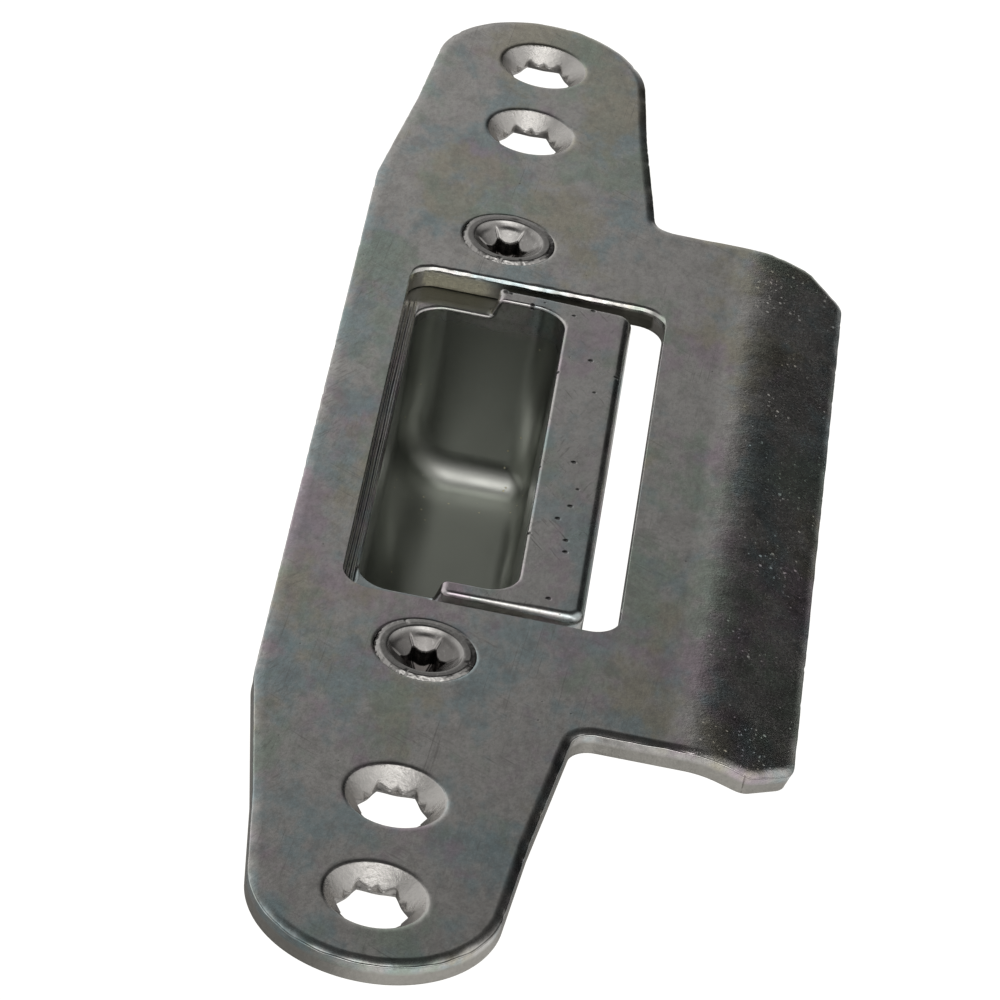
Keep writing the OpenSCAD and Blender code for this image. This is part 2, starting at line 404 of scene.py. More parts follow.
def plate_finish():
    """Passivated zinc, scratched along the plate's left edge and speckled on the lip, with painted shade on
    the right part of the opening's far wall.
    """
    m = Metal("plate_zinc", (0.71, 0.695, 0.675), (0.19, 0.26))
    m.tints((TEAL, ROSE, TEAL, STRAW, LEAF), 0.7, 11.0)
    m.grain(0.010, 0.28)
    left = m.n.ramp(m.x, -6.0, -15.0)
    left = m.n.math("MULTIPLY", left, m.n.ramp(m.y, 60.0, 20.0, 0.2, 1.0))
    m.streaks(32, 2.4, 0.22, 0.54, 0.70, m.n.math("MULTIPLY", left, m.patches(8, 0.38, 0.6)), 0.35)
    m.streaks(12, 1.6, 0.20, 0.55, 0.70, m.n.math("MULTIPLY", left, m.patches(5, 0.40, 0.6, 40)), 0.35)
    m.streaks(-60, 5.0, 0.22, 0.60, 0.72, m.patches(7, 0.46, 0.64, 90), 0.35)
    m.streaks(4, 12.0, 0.20, 0.62, 0.72, m.patches(11, 0.46, 0.62, 160), 0.35)
    lip = m.n.ramp(m.x, 25.0, 29.0)
    m.raise_by(m.n.math("MULTIPLY", m.n.noise(m.mm, 3.4, 4.0, 0.7), lip), 0.045)
    m.raise_by(m.n.math("MULTIPLY", m.n.noise(m.mm, 0.22, 2.0, 0.5), lip), 0.16)
    flecks = m.n.ramp(m.n.noise(m.mm, 3.0, 3.0, 0.7), 0.54, 0.72)
    m.rough = m.n.math("MULTIPLY_ADD", m.n.math("MULTIPLY", flecks, lip), 0.14, m.rough)
    crowd = m.n.math("MULTIPLY", m.patches(9, 0.25, 0.75, 500), 0.4)
    m.dots(1.3, m.n.math("MULTIPLY", lip, crowd), 0.18, 0.4, rough=0.75)
    m.dots(0.6, m.n.math("MULTIPLY", lip, crowd), 0.10, 0.2, rough=0.6)
    face = m.n.math("SUBTRACT", 1.0, m.n.attribute("cut"))
    m.dots(3.1, m.n.math("MULTIPLY", face, 0.14), 0.2, -0.5, (0.25, 0.24, 0.23))
    m.layer("cut", ((0.60, 0.58, 0.54), (0.40, 0.39, 0.36)), 0.2, 0.05)
    m.layer("bare", ((0.63, 0.61, 0.59), (0.43, 0.42, 0.405)), 0.05, 0.07)
    # The opening's far wall: paler and rougher on its left part; painted shade darkens its right part, beside
    # the keeper's arm.
    m.layer("pale_far_wall", ((0.95, 0.93, 0.80), (0.55, 0.53, 0.43)), 0.45, 0.15)
    m.layer("far_wall_painted_shade", ((0.20, 0.195, 0.165), (0.12, 0.12, 0.10)), 0.1)
    return m.finish()


def insert_finish():
    """Plated die casting: pitted face, ridged strip beside the pocket, a smooth dark pocket, painted shade on
    the ledge under the plate's far edge, and a painted highlight along the pocket's end fillets.
    """
    m = Metal("cast_zinc", (0.68, 0.67, 0.655), (0.20, 0.28))
    m.tints((ROSE, LEAF, ROSE, TEAL), 0.55, 8.0)
    m.grain(0.010, 0.22)
    m.streaks(20, 2.0, 0.3, 0.6, 0.74, m.patches(6, 0.46, 0.62), 0.4)
    face = m.n.ramp(m.z, 1.6, 2.3)
    m.dots(3.6, m.n.math("MULTIPLY", face, 0.6), 0.36, -1.0, (0.04, 0.04, 0.04))
    m.streaks(-35, 3.0, 0.16, 0.60, 0.70, m.patches(5, 0.5, 0.6, 70), 0.6)
    wander = m.n.math("MULTIPLY_ADD", m.n.noise(m.n.scaled(m.mm, (0.5, 0.03, 0.5)), 1.0, 2.0), 0.7, m.x)
    ridges = m.n.math("SINE", m.n.math("MULTIPLY", wander, 2 * math.pi / STRIP_RIDGE))
    m.raise_by(m.n.math("MULTIPLY", ridges, m.n.attribute("strip")), 0.05)
    pocket = m.n.attribute("pocket")
    m.height = m.n.math("MULTIPLY", m.height, m.n.math("SUBTRACT", 1.0, pocket))
    # Painted shade: the ledge under the far edge of the plate's opening is darkened.
    m.layer("ledge_painted_shade", ((0.27, 0.27, 0.25), (0.20, 0.20, 0.18)), 0.1, 0.05)
    m.layer("pocket", ((0.45, 0.465, 0.435), (0.42, 0.435, 0.405)), 0.08)
    # Painted highlight: a lighter base along the pocket's end fillets makes the highlight there stronger.
    m.layer("fillet_painted_highlight", ((0.54, 0.55, 0.52), (0.50, 0.51, 0.48)), 0.05)
    dusty = m.n.math("MULTIPLY", pocket, m.patches(9, 0.45, 0.75, 300))
    m.dots(1.1, dusty, 0.16, 0.0, (0.95, 0.90, 0.66), 0.4, "3D")
    return m.finish()


def screw_finish():
    """Dark plated screw, with painted shade in its socket and over the petals of its mouth."""
    m = Metal("screw_steel", (0.41, 0.40, 0.39), (0.20, 0.28))
    m.grain(0.012, 0.3)
    # Painted shade: near black in the socket's recess and over the mouth's petals, where the socket attribute
    # says.
    m.layer("socket", ((0.10, 0.09, 0.09), (0.06, 0.055, 0.05)), 0.05, 0.02)
    return m.finish()


def nut_finish():
    """Plain plated nut."""
    m = Metal("nut_steel", (0.62, 0.60, 0.54), (0.22, 0.32))
    m.tints((STRAW, TEAL), 0.5, 4.0)
    m.grain(0.008, 0.15)
    return m.finish()


plate_metal, insert_metal = plate_finish(), insert_finish()
screw_metal, nut_metal = screw_finish(), nut_finish()

# ---------- strike plate ----------

PLATE_T = 2.5                   # thickness of the sheet
LIP_BEND_X = 27.5               # where the lip leaves the flat
LIP_BEND_R = 14.0               # outer radius of its bend
LIP_ANGLE = math.radians(18)
LIP_HALF_LEN = 49.6
LIP_CUT = (4.3, 4.0)            # corner cut, across and along
BODY_HALF_W = -PLATE_LOW[0]
BODY_HALF_LEN = 50.5
KNEE = (13.6, 69.5)             # where the end tabs change taper
END_R = 12.5
TAB_KNEE_R, BODY_KNEE_R = 8.0, 12.0
LIP_CORNER_R = 2.6
OPENING = (-9.8, 18.9, 32.0, 3.0)   # X of its two sides, half its length, radius of its corners
SINK_R = 5.2                    # wood screw countersinks
SEAT_R = 5.25                   # clamp screw seats
PATH_STEP = 0.4                 # spacing of the points round the plate's edges
HOLE_FACETS = 7                 # rings down a countersink
CUT_BOTTOM = 0.3                # height of the rounded lower edge of a blanked wall


def unroll(x):
    """Distance along the outer surface of the plate at a given X."""
    if x <= LIP_BEND_X:
        return x
    bend_end = LIP_BEND_X + LIP_BEND_R * math.sin(LIP_ANGLE)
    if x <= bend_end:
        return LIP_BEND_X + LIP_BEND_R * math.asin((x - LIP_BEND_X) / LIP_BEND_R)
    return LIP_BEND_X + LIP_BEND_R * LIP_ANGLE + (x - bend_end) / math.cos(LIP_ANGLE)


def bend(points):
    """Rolls the unrolled plate's points (u, y, z) round the lip's bend."""
    p = np.array(points, float)
    past = p[:, 0] - LIP_BEND_X
    angle = np.clip(past / LIP_BEND_R, 0, LIP_ANGLE)
    straight = np.maximum(past - LIP_BEND_R * LIP_ANGLE, 0)
    depth = PLATE_T - p[:, 2]
    x = LIP_BEND_X + LIP_BEND_R * np.sin(angle) + straight * math.cos(LIP_ANGLE) - depth * np.sin(angle)
    z = PLATE_T - LIP_BEND_R * (1 - np.cos(angle)) - straight * math.sin(LIP_ANGLE) - depth * np.cos(angle)
    on_lip = past > 0
    p[on_lip, 0] = x[on_lip]
    p[on_lip, 2] = z[on_lip]
    return p


def end_corner_x():
    """Where a tab's edge would meet the line through the plate's end, so that the round end is one arc."""
    rise = PLATE_HIGH[1] - END_R - KNEE[1]
    lean = math.atan2(rise, -KNEE[0]) - math.asin(END_R / math.hypot(KNEE[0], rise))
    return KNEE[0] + (PLATE_HIGH[1] - KNEE[1]) / math.tan(lean)


def plate_outline():
    """Outline of the unrolled plate, and its outward normals."""
    edge_u = unroll(PLATE_HIGH[0])
    cut_u = unroll(PLATE_HIGH[0] - LIP_CUT[0])
    end_x, end_y, end_r = end_corner_x(), PLATE_HIGH[1], END_R - 0.02
    upper = [(edge_u, LIP_HALF_LEN - LIP_CUT[1], LIP_CORNER_R), (cut_u, LIP_HALF_LEN, LIP_CORNER_R),
             (BODY_HALF_W + 0.1, LIP_HALF_LEN, LIP_CORNER_R), (*KNEE, TAB_KNEE_R), (end_x, end_y, end_r),
             (-end_x, end_y, end_r), (-KNEE[0], KNEE[1], TAB_KNEE_R),
             (-BODY_HALF_W, BODY_HALF_LEN, BODY_KNEE_R)]
    lower = [(x, -y, r) for x, y, r in reversed(upper)]
    return rounded_path(lower + upper, PATH_STEP)


def edge_profile(width, corner, flat=False):
    """(distance from the edge, share of the roll's drop, share of the wall's depth, share of cut face).

    The corner is round, or a flat chamfer.
    """
    steps = []
    for k in range(9):
        d = corner + (width - corner) * (1 - k / 8) ** 1.3
        steps.append((d, (1 - (d - corner) / (width - corner)) ** 2, 0, 0))
    for k in range(1, 6):
        angle = math.pi / 2 * k / 5
        if flat:
            steps.append((corner * (1 - k / 5), 1, corner * k / 5, 0))
        else:
            steps.append((corner * (1 - math.sin(angle)), 1, (1 - math.cos(angle)) * corner, 0))
    for share, cut in ((0.22, 0.1), (0.38, 0.5), (0.5, 1), (0.7, 1), (0.88, 1)):
        steps.append((0.0, 1, corner + (PLATE_T - CUT_BOTTOM - corner) * share, cut))
    return steps


def corner_share(normals, step, reach):
    """How round a contour is near each point, from 0 on a straight to 1 on a tight convex corner."""
    turn = np.arcsin(np.clip(np.cross(normals, np.roll(normals, -1, axis=0)), -1, 1)) / step
    span = np.arange(-3 * reach, 3 * reach + step, step)
    weight = np.exp(-((span / reach) ** 2))
    around = np.concatenate([turn[-len(span):], turn, turn[:len(span)]])
    soft = np.convolve(around, weight / weight.sum(), "same")[len(span):-len(span)]
    return np.clip(soft * 9, 0, 1)


def sweep_edge(builder, masks, points, normals, profile, drops, rough, sizes):
    """Loops of a blanked edge swept round a contour, whose normals point into the material.

    drops is how far the roll lowers the corner at each point of the contour, and sizes scales the corner.
    """
    corner = max(d for d, fall, _, _ in profile if fall == 1)
    nicks = np.array([max(0.0, wave(x, y, 0, 1.3, 11) - 0.28) * rough * 5 for x, y in points])
    sway = np.array([wave(x, y, 0, 2.4, 3) for x, y in points])
    drops = drops * (1 + 0.45 * sway) + 0.35 * nicks
    loops = []
    for d, fall, depth, cut in profile:
        ring = []
        for (x, y), (nx, ny), drop, nick, size in zip(points, normals, drops, nicks, sizes):
            scale = size if depth <= corner else 1
            z = PLATE_T - fall * drop - depth * scale * (1 - drop / (PLATE_T - CUT_BOTTOM))
            inset = d * size
            if fall == 1:
                inset += max(0.0, nick * (1 - depth))
                inset += rough * min(1, depth * 2 + 0.2) * (1 + wave(x, y, z * 2.2, 0.9)
                                                            + 0.6 * wave(x, y, z * 3, 0.35, 7))
            ring.append((x + nx * inset, y + ny * inset, z))
        loops.append(builder.add(ring))
        masks += [cut] * len(ring)
    for inset, z, cut in ((0.0, 0.16, 1), (0.05, 0.05, 0.6), (0.16, 0.0, 0)):
        moved = points + normals * inset
        loops.append(builder.add([(x, y, z) for x, y in moved]))
        masks += [cut] * len(points)
    return builder.skin(loops)


def hexagon(turn, corner, bulge=0.0):
    """Radius of a hexagon with a corner at zero, whose sides bulge inward by a little."""
    side = (turn % (math.pi / 3)) - math.pi / 6
    return corner * math.cos(math.pi / 6) / np.cos(side) - bulge * np.cos(3 * side) ** 2


def screw_hole(builder, masks, y):
    """Countersink that ends in scallops: a through hexagon, and a shallower one turned by 30 degrees."""
    way, turn = circle()
    through = hexagon(turn, 3.78, 0.16)
    shallow = hexagon(turn + math.pi / 6, 3.46)
    lower = np.maximum(through + 0.02, shallow) - 0.10 * np.sin(6 * turn) ** 2
    rim = [(SINK_R + out, down) for out, down in
           ((0.5, 0), (0.22, 0.005), (0.04, 0.02), (-0.1, 0.055), (-0.2, 0.12), (-0.3, 0.21))]
    cone_r, cone_top = rim[-1][0], PLATE_T - rim[-1][1]
    rings = [(r, PLATE_T - down, 0) for r, down in rim]
    for k in range(1, HOLE_FACETS + 1):
        r = cone_r + (lower - cone_r) * k / HOLE_FACETS
        rings.append((r, cone_top - (cone_r - r) * 0.98, 0))
    edge_z = rings[-1][1]
    ledge_z = np.minimum(edge_z - 0.12, 0.34)
    rings[-1] = (lower + 0.16, edge_z + 0.15, 0)
    rings += [(lower + 0.07, edge_z + 0.04, 0), (lower, edge_z - 0.12, 0.2),
              (lower - 0.03, (edge_z + ledge_z) / 2, 0.3), (lower - 0.03, ledge_z, 0.4),
              (through, ledge_z - 0.03, 0.5), (through, ledge_z * 0.5, 0.6), (through, 0.06, 0.6),
              (through + 0.07, 0, 0)]
    loops = []
    for r, z, cut in rings:
        loops.append(builder.add(ring_points(way, r, y, z)))
        masks += [cut] * len(turn)
    return builder.skin(loops)


def clamp_seat(builder, masks, y):
    """Conical seat of a clamp screw, whose rim the screw has drawn down a little."""
    way, turn = circle()
    rings = [(6.1, PLATE_T), (5.6, PLATE_T - 0.004), (5.36, PLATE_T - 0.012), (5.28, PLATE_T - 0.05),
             (SEAT_R, PLATE_T - 0.42), (SEAT_R - 0.6, PLATE_T - 1.02), (SEAT_R - 1.6, PLATE_T - 2.02),
             (2.95, 0.08), (3.0, 0.0)]
    loops = []
    for r, z in rings:
        loops.append(builder.add(ring_points(way, r, y, z)))
        masks += [0] * len(turn)
    return builder.skin(loops)


def bend_lines(builder, masks, z, margin):
    """Lines along the lip, so that the fill follows its bend."""
    lines = []
    for k in range(9):
        u = LIP_BEND_X + LIP_BEND_R * LIP_ANGLE * k / 8
        ys = np.linspace(-LIP_HALF_LEN + margin, LIP_HALF_LEN - margin, 30)
        lines.append(builder.add([(u, y, z) for y in ys]))
        masks += [0] * len(ys)
    return lines


def build_plate():
    """The plate, built flat and then bent; masks holds how far each point is on a cut face."""
    b, masks = Builder(), []
    points, outward = plate_outline()
    facing = np.maximum(outward[:, 0], -outward[:, 1])
    drops = 0.11 + 0.12 * corner_share(outward, PATH_STEP, 5.0) + 0.13 * smooth(facing, 0.2, 0.9)
    drops -= 0.05 * smooth(-outward[:, 0], 0.5, 0.95)
    sizes = np.ones(len(points))
    top, bottom = sweep_edge(b, masks, points, -outward, edge_profile(1.2, 0.16), drops, 0.05, sizes)
    x0, x1, half, r = OPENING
    points, outward = rounded_path([(x1, -half, r), (x1, half, r), (x0, half, r), (x0, -half, r)], PATH_STEP)
    drops = np.full(len(points), 0.12)
    ripple = np.array([wave(x, y, 0, 1.6, 21) + wave(x, y, 0, 0.7, 22) for x, y in points])
    sizes = 0.2 + 0.8 * smooth(outward[:, 1], 0.2, 0.9) * (1 + 0.35 * ripple)
    holes = [sweep_edge(b, masks, points, outward, edge_profile(0.75, 0.27, True), drops, 0.04, sizes)]
    holes += [screw_hole(b, masks, y) for y in HOLE_YS]
    holes += [clamp_seat(b, masks, y) for y in (-CLAMP_Y, CLAMP_Y)]
    tops, bottoms = zip(*holes)
    b.fill(top, tops, bend_lines(b, masks, PLATE_T, 1.9))
    b.fill(bottom, bottoms, bend_lines(b, masks, 0.0, 0.8))
    x, y, z = np.array(b.points).T
    from_hole = np.min([np.hypot(x, y - hole) for hole in HOLE_YS], axis=0)
    bare = smooth(-from_hole, 0.05 - SINK_R, 0.3 - SINK_R)
    far_wall = (abs(y - half) < 0.4) & (x > x0) & (x < x1) & (z < PLATE_T - 0.4)
    # Painted shade on the right part of the opening's far wall; its left part is paler.
    layers = [("cut", masks), ("bare", bare), ("pale_far_wall", far_wall * smooth(-x, -0.5, 2.0)),
              ("far_wall_painted_shade", far_wall * smooth(x, -0.5, 1.5))]
    return make_object("strike_plate_detail", bend(b.points), b.faces, "strike_plate", "plate",
                       plate_metal, attributes=layers)


build_plate()

# ---------- keeper insert, from a distance function ----------

CASTING_WALL = 1.8
POCKET_X = (-8.4, 8.0)
POCKET_HALF = 28.0
POCKET_FLOOR = INSERT_BOTTOM + CASTING_WALL
SHELL_X = (-10.2, 9.8)
SHELL_HALF = 30.3
BAR_X = 15.3                    # lip side of the keeper's bar
BAR_BOTTOM = -6.5
KEEPER_HALF = 30.3
ARM_TIP_X = 0.3
FLANGE = (-14.9, 9.8, -33, 33, 3)   # X range, Y range and corner radius
EARS = (-9.5, 9.5, -48.5, 48.5, 3)
FLANGE_BOTTOM, FLANGE_TOP = -3.25, -0.05
RIB_SPACING = 13.5
SLOT_X = (-3.8, 0.3)            # centres of a clamp slot's round ends
SLOT_R = 2.8
CHANNEL_HALF_W = 4.65           # channel that keeps a nut from turning
CHANNEL_TOP = -1.85


def rect_distance(x, y, x0, x1, y0, y1, r):
    """Signed distance to a rectangle with round corners, negative inside."""
    qx = np.abs(x - (x0 + x1) / 2) - ((x1 - x0) / 2 - r)
    qy = np.abs(y - (y0 + y1) / 2) - ((y1 - y0) / 2 - r)
    return np.hypot(np.maximum(qx, 0), np.maximum(qy, 0)) + np.minimum(np.maximum(qx, qy), 0) - r


def both(a, b, r):
    """Where both are solid, with the edge rounded to radius r."""
    u, v = np.maximum(a + r, 0), np.maximum(b + r, 0)
    return np.minimum(-r, np.maximum(a, b)) + np.hypot(u, v)


def either(a, b, r):
    """Where either is solid, with the corner filleted to radius r."""
    u, v = np.maximum(r - a, 0), np.maximum(r - b, 0)
    return np.maximum(r, np.minimum(a, b)) - np.hypot(u, v)


def slab(value, low, high):
    """Signed distance to the space between two parallel planes."""
    return np.maximum(low - value, value - high)


def pocket_distances(x, y, z):
    """Distances to the pocket's long trough, whose floor corner is wide on one side, and to its end walls."""
    lean = np.clip(-z, 0, 24) * 0.02
    trough = both(POCKET_X[0] + lean - x, POCKET_FLOOR - z, 7.0)
    trough = both(trough, x - (POCKET_X[1] - lean), 2.6)
    return trough, np.abs(y) - (POCKET_HALF - lean)


def insert_distance(x, y, z):
    """Signed distance to the casting, about, negative inside."""
    ay = np.abs(y)
    # Flange behind the plate, with its ears
    flange = either(rect_distance(x, y, *FLANGE), rect_distance(x, y, *EARS), 2)
    solid = both(flange, slab(z, FLANGE_BOTTOM, FLANGE_TOP), 0.35)
    # Pocket outside, with draft
    draft = np.clip(-z, 0, 24) * 0.018
    shell_half = SHELL_HALF - draft
    shell = rect_distance(x, y, SHELL_X[0] + draft, SHELL_X[1] - draft, -shell_half, shell_half, 4.5)
    solid = either(solid, both(shell, slab(z, INSERT_BOTTOM, -0.3), 1.6), 0.8)
    # Bar's skirt and ribs
    skirt = both(slab(x, BAR_X - 2.2, BAR_X - 0.1), slab(z, BAR_BOTTOM, 0), 0.5)
    skirt = both(skirt, ay - (KEEPER_HALF - 1.4), 0.5)
    solid = np.minimum(solid, skirt)
    rib_y = ay - RIB_SPACING * np.clip(np.round(ay / RIB_SPACING), 0, 2)
    ribs = both(both(np.abs(rib_y) - 0.9, slab(x, 8.5, BAR_X - 0.5), 0.3), slab(z, BAR_BOTTOM, 0), 0.4)
    solid = either(solid, ribs, 0.5)
    # C-shaped keeper that stands up to the plate's front
    outer = rect_distance(x, y, -6.0, BAR_X, -KEEPER_HALF, KEEPER_HALF, 1.7)
    tip = ARM_TIP_X + 0.1 - x - 0.28 * (PLATE_T - z)
    outer = both(outer, tip, 1.05)
    keeper = both(outer, z - PLATE_T, np.interp(x, (4, BAR_X - 1), (0.5, 1.1)))
    keeper = np.maximum(keeper, -1.7 - z)
    solid = either(solid, keeper, 0.35)
    # Small burr left by the mould at the tip of one arm
    burr = np.sqrt((x - 0.7) ** 2 + (y - KEEPER_HALF + 0.3) ** 2 + (z - 2.12) ** 2) - 0.5
    solid = either(solid, burr, 0.2)
    # Pocket
    trough, ends = pocket_distances(x, y, z)
    pocket = both(trough, ends, 3.5)
    solid = both(solid, -pocket, np.interp(x, (0, 1.5), (0.46, 0.32)))
    # Slots for the clamp screws, and the channels that stop the nuts turning
    from_clamp = ay - CLAMP_Y
    slot = np.hypot(x - np.clip(x, *SLOT_X), from_clamp) - SLOT_R
    solid = both(solid, -slot, 0.25)
    channel = np.maximum(np.abs(from_clamp) - CHANNEL_HALF_W, z - CHANNEL_TOP)
    return both(solid, -channel, 0.25)


def surface_nets(distance, xs, ys, zs):
    """Quad mesh of a distance function's zero surface on a grid of uneven spacing, and its normals."""
    grid = distance(*np.meshgrid(xs, ys, zs, indexing="ij"))
    solid = grid < 0
    cells = np.array(grid.shape) - 1
    total = np.zeros((*cells, 3))
    count = np.zeros(cells)
    axes = (xs, ys, zs)
    for axis in range(3):
        for a in (0, 1):
            for b in (0, 1):
                low = [None] * 3
                others = [k for k in range(3) if k != axis]
                low[axis] = slice(0, cells[axis])
                low[others[0]] = slice(a, a + cells[others[0]])
                low[others[1]] = slice(b, b + cells[others[1]])
                high = list(low)
                high[axis] = slice(1, cells[axis] + 1)
                f0, f1 = grid[tuple(low)], grid[tuple(high)]
                cross = solid[tuple(low)] != solid[tuple(high)]
                t = np.where(cross, f0 / np.where(cross, f0 - f1, 1), 0)
                for k in range(3):
                    line = axes[k][low[k]]
                    shape = [1, 1, 1]
                    shape[k] = len(line)
                    value = np.broadcast_to(line.reshape(shape), t.shape)
                    if k == axis:
                        step = np.diff(axes[k]).reshape(shape)
                        value = value + t * step
                    total[..., k] += np.where(cross, value, 0)
                count += cross
    active = count > 0
    index = np.full(cells, -1)
    index[active] = np.arange(active.sum())
    points = total[active] / count[active][:, None]
    faces = []
    for axis in range(3):
        o1, o2 = [k for k in range(3) if k != axis]
        low = [slice(1, -1)] * 3
        high = [slice(1, -1)] * 3
        low[axis], high[axis] = slice(0, -1), slice(1, None)
        a, b = solid[tuple(low)], solid[tuple(high)]
        where = np.argwhere(a != b)
        base = where.copy()
        base[:, o1] += 1
        base[:, o2] += 1
        corner = []
        for d1, d2 in ((-1, -1), (0, -1), (0, 0), (-1, 0)):
            cell = base.copy()
            cell[:, o1] += d1
            cell[:, o2] += d2
            corner.append(index[tuple(cell.T)])
        faces.append(np.stack(corner, 1))
    faces = np.concatenate(faces)
    step = 0.01

    def gradient(p):
        sides = []
        for k in range(3):
            shift = np.zeros(3)
            shift[k] = step
            sides.append((distance(*(p + shift).T) - distance(*(p - shift).T)) / (2 * step))
        return np.stack(sides, 1)

    for _ in range(3):
        g = gradient(points)
        square = np.maximum((g * g).sum(1), 0.2)
        move = distance(*points.T)[:, None] * g / square[:, None]
        points = points - np.clip(move, -0.15, 0.15)
    g = gradient(points)
    normals = g / np.maximum(np.linalg.norm(g, axis=1), 1e-6)[:, None]
    return points, faces.tolist(), normals


def spaced(*stops):
    """Grid lines from (start, step) stops up to the last stop's start."""
    lines = []
    for (start, step), (end, _) in zip(stops, stops[1:]):
        lines.append(np.linspace(start, end, max(1, round((end - start) / step)), endpoint=False))
    return np.concatenate(lines + [[stops[-1][0]]])


def build_insert():
    """The casting on a grid that is finest round the pocket's rim, with masks for its finishes, for painted
    shade on the far ledge and for a painted highlight on the pocket's end fillets.
    """
    xs = spaced((-15.6, 0.5), (-10.6, 0.34), (-7.2, 0.5), (-0.6, 0.3), (2.4, 0.55), (6.6, 0.32), (15.7, 0))
    half = spaced((0, 0.6), (25.6, 0.3), (31.2, 0.5), (49.3, 0))
    ys = np.concatenate([-half[:0:-1], half])
    zs = spaced((INSERT_BOTTOM - 0.8, 0.5), (-3.8, 0.35), (-0.6, 0.22), (3.1, 0))
    points, faces, normals = surface_nets(insert_distance, xs, ys, zs)
    x, y, z = points.T
    in_pocket = (x > POCKET_X[0] - 0.5) & (x < POCKET_X[1] + 0.5)
    in_pocket &= (abs(y) < POCKET_HALF + 0.6) & (z > POCKET_FLOOR - 0.9)
    pocket = np.where(in_pocket, smooth(-z, 0.3, 2.5), 0)
    strip = smooth(-x, 8.3, 8.6) * smooth(z, -0.6, -0.3) * smooth(-abs(y), -29.5, -27.5)
    # Painted shade on the ledge under the far edge of the plate's opening.
    ledge_painted_shade = smooth(z, -1.0, -0.5) * smooth(-z, -0.3, 0.0) * (x < 0.5)
    ledge_painted_shade = ledge_painted_shade * smooth(y, POCKET_HALF - 0.2, POCKET_HALF + 0.5)
    # Painted highlight along the fillets where the pocket's floor and walls meet its end walls.
    fillet_painted_highlight = pocket * smooth(np.min(pocket_distances(x, y, z), axis=0), -2.8, -1.3)
    layers = [("pocket", pocket), ("strip", strip), ("ledge_painted_shade", ledge_painted_shade), ("fillet_painted_highlight", fillet_painted_highlight)]
    return make_object("keeper_insert_detail", points, faces, "keeper_insert", "insert",
                       insert_metal, normals=normals, attributes=layers)


build_insert()

# ---------- clamp screws and nuts ----------

(_, _, SCREW_END), (_, _, SCREW_TOP) = box_mm("clamp_screw_upper")
HEAD_R = 5.2
HEAD_RIM = 0.42                 # depth of the head's upright rim
FACE_R = 4.7                    # where the head's flat ring ends
THREAD_R = 2.5
THREAD_PITCH = 0.8
THREAD_STEP = 0.1
BORE_MOUTH_R = 3.0
NUT_LOW, NUT_HIGH = box_mm("clamp_nut_upper")
NUT_CORNER_R = 0.8


def worn_share(turn):
    """How worn and bevelled a clamp screw's rim is round its head: most on the side towards -X and -Y."""
    return 0.2 + 0.8 * smooth(np.cos(turn - math.radians(-115)), -0.25, 0.35)


def head_height(r, turn, twist, nicks, petal_painted_shade):
    """Height of a clamp screw's head below its top, and the share of painted shade there: full in the socket,
    and over the mouth's petals as much as the last argument says.

    A flat ring with a bevel worn on one side, a steep mouth of six petals, and a six-lobe socket.
    """
    lobe = np.abs(np.sin(3 * (turn - twist)))
    z = -np.interp(r, (0, 3.70, 3.9, 4.05), (3.16, 0.22, 0.03, 0.0))
    off_groove = lobe * r / 3
    z = z + 0.12 * lobe * smooth(-r, -3.5, -2.9)
    z = z - 0.16 * np.exp(-((off_groove / 0.11) ** 2)) * smooth(-r, -3.6, -2.9)
    socket = 1.75 + 0.62 * (1 - lobe) ** 1.3
    z = z - smooth(-(r - socket), -0.04, 0.16) * 1.5
    z = z + 0.25 * smooth(-r, -0.9, -0.3)
    z = z - HEAD_RIM * worn_share(turn) * np.clip((r - 4.72) / 0.48, 0, 1) ** 1.3
    for where, width, depth in nicks:
        away = np.angle(np.exp(1j * (turn - math.radians(where)))) * r
        z = z - depth * np.exp(-((away / width) ** 2)) * smooth(r, 4.2, 4.8)
    # The second value is painted shade: full in the socket, and over the mouth's petals as strong as the last
    # argument.
    return z, np.maximum(smooth(-(r - socket), -0.02, 0.1), petal_painted_shade * smooth(-r, -3.75, -3.4))


def thread(z, turn):
    """How near each direction is to the thread's crest at a height, from 0 to 1."""
    phase = (z / THREAD_PITCH - turn / (2 * math.pi)) % 1
    return smooth(1 - np.abs(phase - 0.5) * 2, 0.1, 0.9)


